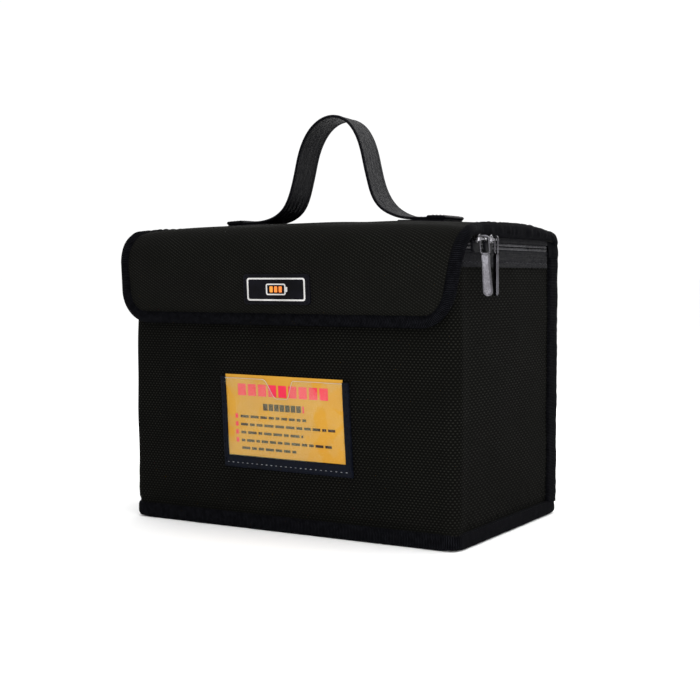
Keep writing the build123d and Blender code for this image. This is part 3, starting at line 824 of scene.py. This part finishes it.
def edge_path(step=1.05):
    """The strip's edge, from left back corner round the flap to right: t, x and the inward direction."""
    corner_t, corner_x, r = T_END - FLAP_CORNER, CORE_HALF - FLAP_CORNER, FLAP_CORNER
    side = np.r_[T_START + np.arange(0, 6, 0.35), np.arange(T_START + 6, corner_t, step)]
    a = np.linspace(0, math.pi / 2, int(r * math.pi / 2 / step))
    along = np.arange(-corner_x + step, corner_x, step)
    half = strip_half(side)
    inward = unit(np.stack([np.clip(np.gradient(half, side), 0, 1.5), 1 + 0 * side], -1))
    left = np.c_[side, -half, inward]
    turn = np.c_[corner_t + r * np.sin(a), -corner_x - r * np.cos(a), -np.sin(a), np.cos(a)]
    low = np.c_[T_END + 0 * along, along, -1 + 0 * along, 0 * along]
    mirror = np.array([1, -1, 1, -1])
    return np.concatenate([left, turn, low, (turn * mirror)[::-1], (left * mirror)[::-1]])


def build_strip_binding():
    path = edge_path()
    t, x, it, ix = path.T
    share = flap_share(t)
    sides = np.abs(ix)

    def top(a, out):
        return strip(t + a * it, x + a * ix, out)

    def low(a, rise):
        flap = strip(t + a * it, x + a * ix, -FLAP_T - 0.85 + rise)
        y = np.interp(t, PROFILE[:, 0], PROFILE[:, 1])
        z_low = 167.1 - 3.5 * smooth(y, 57, 63)
        lid = np.stack([strip(t, x + a * ix)[:, 0], np.clip(y, -72, 70.5) - a * it, z_low + rise], -1)
        return lid + (flap - lid) * share[:, None]

    rest = top(5, 0)
    wave = 0.09 * ripple(rest, 4.2, 70) + 0.10 * ripple(rest, 12, 71)
    leg = 1.7 + 6.2 * share
    out_x = np.stack([-ix, 0 * ix, 0 * ix], -1)
    thick = 0.72 + 0.28 * share
    rings = [top(BINDING_W + 0.3, -1.2), top(BINDING_W, -0.55), top(BINDING_W - 0.7, 0.0),
             top(BINDING_W - 1.3, 0.6 * thick), top(BINDING_W - 2.1, 1.1 * thick + wave * 0.5),
             top(2.9, 1.35 * thick + wave), top(2.2, 1.35 * thick + wave),
             top(1.4, 1.05 * thick + wave * 0.6), top(0.5, 0.55 * thick), top(-0.25, 0.0), top(-0.75, -0.6)]
    upper, lower = top(-0.92, -1.2), low(-0.92, 0.9)
    fold = 0.32 * ripple(rest, 6.5, 72) * (1 - 0.7 * share) * sides * smooth(t, T_START + 6, T_START + 22)
    for f in (0.2, 0.4, 0.6, 0.8):
        rings.append(upper + (lower - upper) * f + out_x * ((0.35 + fold) * math.sin(math.pi * f))[:, None])
    rings += [low(-0.85, 0.7), low(-0.35, 0.1), low(0.6, -0.15), low(leg * 0.5, -0.2), low(leg, -0.1),
              low(leg, 0.45), low(0.7, 0.9), top(0.7, -1.0), top(4, -1.2)]
    shape = Shape().tube(np.stack(rings, 1), flip=True)
    piece = shape.make("strip_binding", BINDING)
    blend_flap(piece, "binding_tape", "left_lid_binding", "right_lid_binding", "flap_binding")
    row = Shape()
    a = BINDING_W - 1.0
    normal = unit(top(a, 1.0) - top(a, 0.0))
    threads(row, top(a, 0.3), normal, 3.0, 1.9, 0.2)
    blend_flap(row.make("strip_binding_thread", THREAD), "binding_tape")


# ---- pieces on the flap ----

def flap_face(x, z, out):
    return strip(on_flap(z), x, out + 0.88)


def badge_loop(w, h, r):
    def outline(inset):
        return rounded(w - 2 * inset, h - 2 * inset, max(r - inset, 0.15), BADGE_AT)
    return outline


def build_badge():
    base = Shape()
    plate(base, badge_loop(44, 17, 2.2), flap_face, -0.6, 0.95, 0.45)
    settle(base.make("badge_plate", RUBBER), "flap", "badge_rubber", "badge_base")
    frame_piece = Shape()
    outer, inner = rounded(38.5, 12.8, 1.6, BADGE_AT, 8), rounded(36.7, 11.0, 0.9, BADGE_AT, 8)
    band(frame_piece, outer, inner, flap_face, 0.9, 1.4, 0.25)
    settle(frame_piece.make("badge_frame", RELIEF), "flap", "badge_relief", "badge_border")
    cell = Shape()
    band(cell, rounded(13, 6.4, 1.2, BADGE_AT), rounded(11.5, 4.9, 0.6, BADGE_AT), flap_face, 0.9, 1.35, 0.2)
    end = (BADGE_AT[0] + 7.05, BADGE_AT[1])
    plate(cell, lambda i: rounded(1.1 - 2 * i, 2.8 - 2 * i, 0.3, end, 4), flap_face, 0.9, 1.35, 0.15)
    settle(cell.make("badge_cell_mark", RELIEF), "flap", "badge_relief", "badge_cell")
    bars = Shape()
    for k in (-1, 0, 1):
        at = (BADGE_AT[0] + 3 * k, BADGE_AT[1])
        plate(bars, lambda i: rounded(2 - 2 * i, 3.4 - 2 * i, 0.35, at, 4), flap_face, 0.9, 1.35, 0.2)
    settle(bars.make("badge_bar_marks", ACCENT), "flap", "badge_accent", "badge_bars")
    row = Shape()
    loop = rounded(41.8, 15.0, 1.7, BADGE_AT)
    loop = dense(np.concatenate([loop, loop[:1]]), 0.6)
    threads(row, flap_face(loop[:, 0], loop[:, 1], 0.98), flap_normal(loop), 2.4, 1.7, 0.2)
    settle(row.make("badge_thread", THREAD), "flap")


def dense(points, step):
    out = []
    for p, q in zip(points[:-1], points[1:]):
        n = max(1, int(np.linalg.norm(q - p) / step))
        out += [p + (q - p) * k / n for k in range(n)]
    return np.array(out + [points[-1]])


def flap_normal(points):
    end = math.radians(180 + FLAP_LEAN)
    return np.repeat([[0, math.cos(end), math.sin(end)]], len(points), 0)


def build_hook_and_loop():
    """Napped loop pad on the front wall, and hooks in rows under the flap."""
    x, z = np.meshgrid(np.linspace(-70, 70, 176), np.linspace(129.5, 148.5, 26), indexing="ij")
    p = np.stack([x, z, 0 * x], -1)
    edge = np.minimum(np.minimum(70 - np.abs(x), 9.5 - np.abs(z - 139)) / 1.4, 1)
    lift = 0.7 + edge * (0.75 + 0.32 * ripple(p, 1.9, 80) + 0.15 * ripple(p, 6, 81))
    face = np.stack([x, -BODY_D / 2 - 0.3 - lift, z], -1)
    back = np.stack([x, -BODY_D / 2 + 0 * x, z], -1)
    rings = np.concatenate([face, back[:, ::-1]], 1)
    pad = Shape().tube(rings, flip=True).make("loop_pad", NAPPED, 80)
    settle(pad, "body", "hook_and_loop", "loop_strip")

    shape = Shape()
    t0, t1 = on_flap(147.0), on_flap(131.0)
    def under(a, b, out):
        return strip(b, a, -out)
    middle = (0, (t0 + t1) / 2)
    plate(shape, lambda i: rounded(140 - 2 * i, t1 - t0 - 2 * i, 1.2, middle), under, 3.1, 4.1, 0.2)
    rise = np.array([4.0, 4.7, 5.2, 5.45, 5.3])[:, None]
    lean = np.array([0, 0.02, 0.18, 0.5, 0.8])[:, None]
    r = np.array([0.2, 0.16, 0.15, 0.13, 0.07])[:, None]
    w = np.linspace(0, 2 * math.pi, 4, endpoint=False) + 0.78
    gap = 1.7
    for k, b in enumerate(np.arange(t0 + 1.2, t1 - 1, gap)):
        for a in np.arange(-68.5 + 0.8 * (k % 2), 68.6, gap):
            shape.tube(under(a + lean + r * np.cos(w), b + r * np.sin(w), rise + 0 * w), flip=True)
    hooks = shape.make("hook_pad", NAPPED)
    settle(hooks, "flap", "hook_and_loop", "hook_strip")


# ---- label pocket ----

def front_face(x, z, out):
    """Points on the front wall, leaning as the sewn pocket does."""
    x, z, out = np.broadcast_arrays(*[np.asarray(q, float) for q in (x, z, out)])
    z = z - POCKET_TILT * (x - POCKET_MID[0])
    x = x + POCKET_LEAN * (POCKET_MID[1] - z)
    return wall(x, z, bulge(x, z) + out)


def thin(shape, x, z, low, high):
    """A thin closed sheet on the front wall over a grid of x and z."""
    rings = np.concatenate([front_face(x, z, high), front_face(x[:, ::-1], z[:, ::-1], low)], 1)
    shape.tube(rings)


def patch(shape, centre, size):
    """A printed block, a thin sheet that follows the card."""
    x, z = [np.linspace(c - w / 2, c + w / 2, max(2, round(w / 2.5))) for c, w in zip(centre, size)]
    x, z = np.meshgrid(x, z, indexing="ij")
    thin(shape, x, z, 0.8, 0.93)


def build_card():
    mid, w, h = (1.25, 65.8), 78.5, 46.6
    x = np.linspace(mid[0] - w / 2, mid[0] + w / 2, 34)
    z = np.linspace(mid[1] - h / 2, mid[1] + h / 2, 22)
    x, z = np.meshgrid(x, z, indexing="ij")
    card = Shape()
    thin(card, x, z, 0.55, 0.85)
    settle(card.make("card_sheet", CARD), "card", "card_stock", "label_card")
    left, top = mid[0] - w / 2, mid[1] + h / 2
    head, lines = Shape(), Shape()
    for k in range(9):
        patch(head, (left + 11.0 + 6.9 * k, top - 8.6), (5.5, 6.8))
    for k in range(7):
        patch(lines, (left + 26.6 + 3.75 * k, top - 18.0), (3.1, 3.9))
    patch(head, (left + 52.2, top - 18.0), (1.1, 3.9))
    rng = np.random.default_rng(5)
    rows = [(24.0, 46), (28.6, 63), (33.2, 41), (37.8, 60), (42.2, 36)]
    indent, gap = 9.2, 1.2
    for k, (down, length) in enumerate(rows):
        if k < 4:
            patch(head, (left + 6.5, top - down + 0.1), (1.9, 2.6))
        at = left + indent
        while at < left + indent + length:
            word = min(rng.uniform(2.4, 6.4), left + indent + length + 1 - at)
            if word < 1.2:
                break
            patch(lines, (at + word / 2, top - down), (word, 1.5))
            at += word + gap
    settle(head.make("card_heading", INK_RED), "card")
    settle(lines.make("card_lines", INK_DARK), "card")


def build_pocket():
    xl, xr, zt, zb = POCKET_MID[0] - 43.4, POCKET_MID[0] + 42.4, 87.7, 35.3
    outer = [(xl, zt), (xl, zb), (xr, zb), (xr, zt)]
    inner = [(xl + 3.5, zt), (xl + 3.5, zb + 6.9), (xr - 3.9, zb + 6.9), (xr - 3.9, zt)]
    def run(corners):
        out = []
        for (a, b), (c, d), n in zip(corners[:-1], corners[1:], (44, 70, 44)):
            out += [(a + (c - a) * k / n, b + (d - b) * k / n) for k in range(n)]
        return np.array(out + [corners[-1]])
    a, b = run(outer), run(inner)
    section = [(0.0, 0.0), (-0.02, 0.7), (0.03, 1.35), (0.12, 1.62), (0.3, 1.75), (0.55, 1.72), (0.8, 1.8),
               (0.93, 1.72), (1.0, 1.4), (1.0, 1.05), (0.9, 0.85), (0.4, 0.75), (0.1, 0.3)]
    rings = []
    for f, out in section:
        q = a + (b - a) * f
        p = front_face(q[:, 0], q[:, 1], 0)
        wave = 0.07 * ripple(p, 7, 90) if 0.05 < f < 0.95 and out > 1 else 0
        rings.append(front_face(q[:, 0], q[:, 1], out + wave))
    piece = Shape().tube(np.stack(rings, 1), flip=True).make("pocket_tape_border", POCKET_TAPE)
    settle(piece, "body", "binding_tape", "pocket_binding")
    corners = [(xl + 1.5, zt), (xl + 1.5, zb + 2.9), (xr - 1.5, zb + 2.9), (xr - 1.5, zt)]
    row, low_row = Shape(), Shape()
    for shape, first in ((row, 0), (low_row, 1), (row, 2)):
        q = dense(np.array(corners[first:first + 2], float), 0.8)
        threads(shape, front_face(q[:, 0], q[:, 1], 1.78), np.repeat([[0, -1, 0]], len(q), 0), 3.3, 1.3, 0.19)
    settle(row.make("pocket_side_thread", THREAD), "body")
    settle(low_row.make("pocket_low_thread", PALE_THREAD), "body")
    build_film(xl + 2.9, xr - 3.2, zb + 5.6, zt - 0.7)


def build_film(x0, x1, z0, z1):
    """The clear window, with a thumb notch in its upper edge and soft creases."""
    x = np.linspace(x0, x1, 110)
    notch = 10.6 * smooth(x, -12.0, -3.4) * (1 - smooth(x, 3.4, 8.6))
    f = np.linspace(0, 1, 60)[None]
    z = z0 + (z1 - notch[:, None] - z0) * f
    x = x[:, None] + 0 * z
    p = np.stack([x, z, 0 * x], -1)
    near = np.minimum(np.minimum(x - x0, x1 - x), z - z0)
    lift = 1.25 + 0.22 * ripple(p, 24, 95) * smooth(near, 0, 8)
    under = front_face(x[:, ::-1], z[:, ::-1], lift[:, ::-1])
    rings = np.concatenate([front_face(x, z, lift + 0.2), under], 1)
    film = Shape().tube(rings).make("pocket_film", FILM, 80)
    settle(film, "body", "clear_film", "pocket_window")
    # The pale rim is painted highlight on the film's cut edge.
    edge = front_face(x[:, -1], z[:, -1], lift[:, -1] + 0.12)
    along = unit(np.gradient(edge, axis=0))
    side = unit(np.cross(along, [0, 1, 0]))
    ring = circle(side[:, None], np.array([0, 1, 0]))
    rim = Shape().tube(edge[:, None] + 0.13 * ring).make("window_edge_painted_highlight", FILM_EDGE_HIGHLIGHT)
    settle(rim, "body", "clear_film")


# ---- handle ----

STRAP_LINE = [(-80.3, 179.55), (-66, 179.55), (-54, 179.9), (-46, 182.0), (-39.4, 186.5), (-35.4, 192.8),
              (-32.6, 200.8), (-30.2, 210), (-27.7, 219.8), (-23.4, 229.5), (-17, 236.9), (-8.5, 240.9),
              (-1, 240.7), (6.2, 236.9), (11.4, 230.2), (14.9, 221.8), (17.4, 212), (20, 202.2),
              (23.6, 193.2), (29.2, 186.4), (36.5, 182.3), (44, 180.2), (52, 179.65),
              (62, 179.55), (71.3, 179.55)]
STRAP_ENDS = {"left": (-1, -49.5), "right": (1, 40.5)}   # which way it points, and where its pad starts


def build_handle():
    line = spline(STRAP_LINE, 1.2)
    line[:, 1] -= droop(line[:, 0])
    along = unit(np.gradient(line, axis=0))
    normal = np.stack([-along[:, 1], along[:, 0]], 1)
    n = len(line)
    centre = np.stack([line[:, 0], np.zeros(n), line[:, 1]], 1)
    up = np.stack([normal[:, 0], np.zeros(n), normal[:, 1]], 1)
    high = smooth(line[:, 1], 184, 205)
    twist = np.radians(1.5) * high - np.radians(6) * high * smooth(line[:, 0], -20, 14)
    level = np.array([0, 1.0, 0])
    across = level * np.cos(twist)[:, None] + up * np.sin(twist)[:, None]
    up = up * np.cos(twist)[:, None] - level * np.sin(twist)[:, None]
    half, thick = 12.2, 0.8
    left = [(-half, 0.3), (-half + 0.5, thick), (-half + 1.6, thick * 1.1), (-half + 2.6, thick * 0.85),
            (-6, thick * 0.92)]
    face = left + [(0, thick)] + [(-a, b) for a, b in left[::-1]]
    section = [(-half, -0.3)] + face + [(-a, -b) for a, b in face[:-1]]
    rings = np.stack([centre + across * a + up * b for a, b in section], 1)
    strap = Shape().tube(rings).make("carry_strap", WEBBING)
    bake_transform(strap)
    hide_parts("handle_strap")
    for name, (sign, start) in STRAP_ENDS.items():
        build_strap_end(name, sign, start)


def build_strap_end(name, sign, start):
    """The folded pad under a strap end, the turned end on top, and its box-and-cross stitching."""
    def block_rings(first, last, low, high, half):
        r = 0.45
        x = np.linspace(first, last, 28)
        loop = [(-half, low + r), (-half, high - r), (-half + r * 0.3, high - r * 0.3), (-half + r, high),
                (-half / 2, high + 0.05), (half / 2, high + 0.05), (half - r, high),
                (half - r * 0.3, high - r * 0.3), (half, high - r), (half, low + r), (half - r, low),
                (-half + r, low)]
        thick = (high - low) / 2
        over = np.clip(np.maximum(x[0] + thick - x, x - x[-1] + thick) / thick, 0, 1)
        shrink = np.sqrt(np.maximum(1 - over ** 2, 0.04))
        mid = (low + high) / 2
        at = start + sign * x
        rows = [np.stack([at, a + 0 * x, mid + (b - mid) * shrink - droop(at)], 1) for a, b in loop]
        return np.stack(rows, 1)
    pad = Shape().tube(block_rings(0, 31.4, 176.0, PAD_TOP, 12.9), flip=sign < 0)
    settle(pad.make(f"{name}_strap_pad", WEBBING), "lid", "webbing", f"{name}_handle_pad")
    end = Shape().tube(block_rings(19.5, 31.6, 179.3, 181.4, 12.5), flip=sign < 0)
    settle(end.make(f"{name}_strap_turn", WEBBING), "lid", "webbing")
    row = Shape()
    a, b, h = 2.0, 18.0, 10.2
    for line in ([(a, -h), (b, -h), (b, h), (a, h), (a, -h)], [(a, -h), (b, h)], [(a, h), (b, -h)],
                 [(21.5, -h), (29.5, -h), (29.5, h), (21.5, h), (21.5, -h)]):
        q = dense(np.array(line, float), 0.8)
        z = np.where(q[:, 0] > 19, 181.45, 180.35 + 0.4 * smooth(-q[:, 0], -8.5, -0.5))
        at = start + sign * q[:, 0]
        up = np.repeat([[0, 0, 1]], len(q), 0)
        threads(row, np.stack([at, q[:, 1], z - droop(at)], 1), up, 2.4, 1.7, 0.22)
    settle(row.make(f"{name}_strap_thread", THREAD), "lid")


# ---- sliders and pulls ----

SLIDERS = {"front": (-53.6, -66.0), "rear": (-38.0, 45.0)}   # y, and how far the pull is turned
PULL_LEAN = {"front": 0.075, "rear": 0.0}
PULL_HANG, PULL_OUT = 165.2, 115.2          # height and x of the bar that the pull swings on
TAB_WIDTH, TAB_WIDTH_LOW = 4.6, 5.5
TAB_LOW, TAB_HIGH = 135.0, 157.4


def build_slider(name, y0, yaw):
    """The slider's plate and crown, the wire ring through them, and the pull tab."""
    def side_face(a, b, out):
        return np.stack(np.broadcast_arrays(out, y0 + a, b), -1)
    body = Shape()
    def base(inset):
        return rounded(8.8 - 2 * inset, 7.6 - 2 * inset, 2.5 - inset, (0, 162))
    plate(body, base, side_face, 109.6, 111.05, 0.45)
    # The plate wears the painted-shade copy of the gunmetal.
    settle(body.make(f"{name}_slider_plate", SHADED_GUNMETAL), f"{name}_slider", "gunmetal", f"{name}_slider")
    leg = [(-4.0, 110.8), (-4.0, 112.6), (-3.3, 114.5), (-1.8, 115.4)]
    arch = spline(leg + [(0, 115.6)] + [(-a, b) for a, b in leg[::-1]], 0.35)
    along = unit(np.gradient(arch, axis=0))
    normal = np.stack([along[:, 1], -along[:, 0]], 1)
    width = 0.55 + 0.75 * smooth(np.abs(arch[:, 0]), 2.4, 4.0)
    rings = []
    for a, b in rounded(1, 1, 0.3, n=4):
        p = arch + normal * (a * 1.1)
        rings.append(np.stack([p[:, 1], y0 + p[:, 0], PULL_HANG + b * 2 * width], 1))
    bridge = Shape().tube(np.stack(rings, 1), flip=True)
    peak = np.array([(-2.6, 163.4), (2.6, 163.4), (2.8, 165.9), (1.2, 167.4), (0, 168.1), (-1.2, 167.4),
                     (-2.8, 165.9)])
    middle = peak.mean(0)
    plate(bridge, lambda i: middle + (peak - middle) * (1 - i / 3.2), side_face, 111.3, 112.7, 0.5)
    # The crown wears the painted-highlight copy of the gunmetal.
    crown = bridge.make(f"{name}_slider_crown", CROWN_HIGHLIGHT_METAL)
    settle(crown, f"{name}_slider", "gunmetal", f"{name}_slider_bridge")

    c, s = math.cos(math.radians(yaw)), math.sin(math.radians(yaw))
    lean = PULL_LEAN[name]
    def pull_face(a, b, out):
        a, b, out = np.broadcast_arrays(a, b, out)
        a = a + lean * (PULL_HANG - b)
        return np.stack([PULL_OUT + out * c - a * s, y0 + out * s + a * c, b], -1)
    loop = rounded(4.7, 9.3, 1.3, (0, 162.25), 7)
    along = unit(np.roll(loop, -1, 0) - np.roll(loop, 1, 0))
    side = np.stack([along[:, 1], -along[:, 0]], 1)
    r = 0.52
    turns = np.linspace(0, 2 * math.pi, 10)[:-1]
    rings = [pull_face(*(loop + side * r * math.cos(w)).T, r * math.sin(w)) for w in turns]
    ring = Shape().grid(np.stack(rings, 1), wrap=(True, True), flip=True)
    settle(ring.make(f"{name}_ring", METAL), f"{name}_pull", "gunmetal", f"{name}_pull_ring")

    def tab(inset):
        a = np.linspace(0, math.pi, 15)
        r = TAB_WIDTH_LOW / 2 - inset
        bottom = np.stack([-r * np.cos(a), TAB_LOW + TAB_WIDTH_LOW / 2 - r * np.sin(a)], 1)
        r = TAB_WIDTH / 2 - inset
        neck = [(r, TAB_HIGH - 3.4), (r + 0.25, TAB_HIGH - 3.0), (r + 0.25, TAB_HIGH - 1.0),
                (r - 0.3, TAB_HIGH - inset)]
        return np.concatenate([bottom, neck, [(-a, b) for a, b in neck[::-1]]])
    half = 0.8
    steps = [(0.35, -half), (0.1, -half + 0.15), (0.0, -half + 0.4)]
    steps += [(inset, -out) for inset, out in steps[::-1]]
    rings = np.array([pull_face(*tab(i).T, o) for i, o in steps])
    piece = Shape().grid(rings, wrap=(False, True))
    for sign, row in ((1, rings[-1]), (-1, rings[0])):
        inner = [pull_face(*tab(i).T, sign * o) for i, o in ((0.8, half), (1.0, half - 0.16))]
        piece.grid(np.array([row, *inner]), wrap=(False, True), flip=sign < 0)
        piece.cap(inner[-1], flip=sign < 0)
    settle(piece.make(f"{name}_tab", METAL, 35), f"{name}_pull", "gunmetal", f"{name}_pull_tab")


# ---- frame nodes that stay, floor, light, camera ----

def dress_boards():
    for node in ("base_board", "front_board", "back_board", "left_board", "right_board"):
        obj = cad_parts[node]
        obj.data.materials.clear()
        obj.data.materials.append(FELT)


def felt():
    p = Paint("felt_board", specular=0.1)
    position = p.node("TexCoord", output=3)
    fibre = p.noise(position, 900, 5.0, 0.7)
    p.set("Base Color", p.mix(fibre, (0.36, 0.36, 0.33), (0.6, 0.6, 0.56)))
    p.set("Roughness", 0.95)
    p.bump(fibre, 0.0003)
    return p.material


FELT = felt()


def build_stage():
    size = 400.0
    mesh = bpy.data.meshes.new("floor")
    corners = [(-size, -size, 0), (size, -size, 0), (size, size, 0), (-size, size, 0)]
    mesh.from_pydata(corners, [], [(0, 1, 2, 3)])
    floor = bpy.data.objects.new("floor", mesh)
    bpy.context.scene.collection.objects.link(floor)
    p = Paint("pale_floor", roughness=0.9, specular=0.1)
    cloud = p.noise(p.node("TexCoord", output=3), 3, 3.0)
    p.set("Base Color", p.mix(cloud, (0.975, 0.975, 0.975), (0.985, 0.985, 0.985)))
    mesh.materials.append(p.material)

    world = bpy.data.worlds.new("studio")
    bpy.context.scene.world = world
    world.use_nodes = True
    world.node_tree.nodes["Background"].inputs[0].default_value = (1, 1, 1, 1)
    world.node_tree.nodes["Background"].inputs[1].default_value = 1.04

    def lamp(name, at, target, size, power):
        data = bpy.data.lights.new(name, "AREA")
        data.shape = "RECTANGLE"
        data.size, data.size_y = size
        data.energy = power
        obj = bpy.data.objects.new(name, data)
        obj.location = at
        obj.rotation_euler = (Vector(target) - Vector(at)).to_track_quat("-Z", "Y").to_euler()
        bpy.context.scene.collection.objects.link(obj)
    middle = (0, 0, 0.1)
    lamp("key", (0.55, -0.85, 0.5), middle, (0.5, 0.5), 1.6)
    lamp("corner", (0.185, -0.225, 0.1), (0.1, -0.07, 0.08), (0.04, 0.2), 0.17)
    lamp("top", (0.0, 0.1, 1.7), middle, (1.4, 1.4), 12)
    lamp("rim", (0.35, 1.05, 0.8), (0, 0, 0.2), (0.7, 0.7), 8)


def build_camera():
    data = bpy.data.cameras.new("camera")
    data.sensor_width = 36
    data.lens = 66.55
    cam = bpy.data.objects.new("camera", data)
    yaw, pitch = math.radians(30.42), math.radians(3.21)
    cam.location = (0.401, -0.680, 0.145)
    forward = Vector((-math.sin(yaw) * math.cos(pitch), math.cos(yaw) * math.cos(pitch), -math.sin(pitch)))
    cam.rotation_mode = "QUATERNION"
    cam.rotation_quaternion = forward.to_track_quat("-Z", "Y")
    bpy.context.scene.collection.objects.link(cam)
    bpy.context.scene.camera = cam


bpy.context.scene.view_settings.view_transform = "Standard"
build_camera()
build_walls()
build_floor_pads()
build_box_bindings()
build_zip()
build_back_hinge()
build_strip()
build_strip_binding()
build_badge()
build_hook_and_loop()
build_card()
build_pocket()
build_handle()
for name, (y0, yaw) in SLIDERS.items():
    build_slider(name, y0, yaw)
dress_boards()
build_stage()
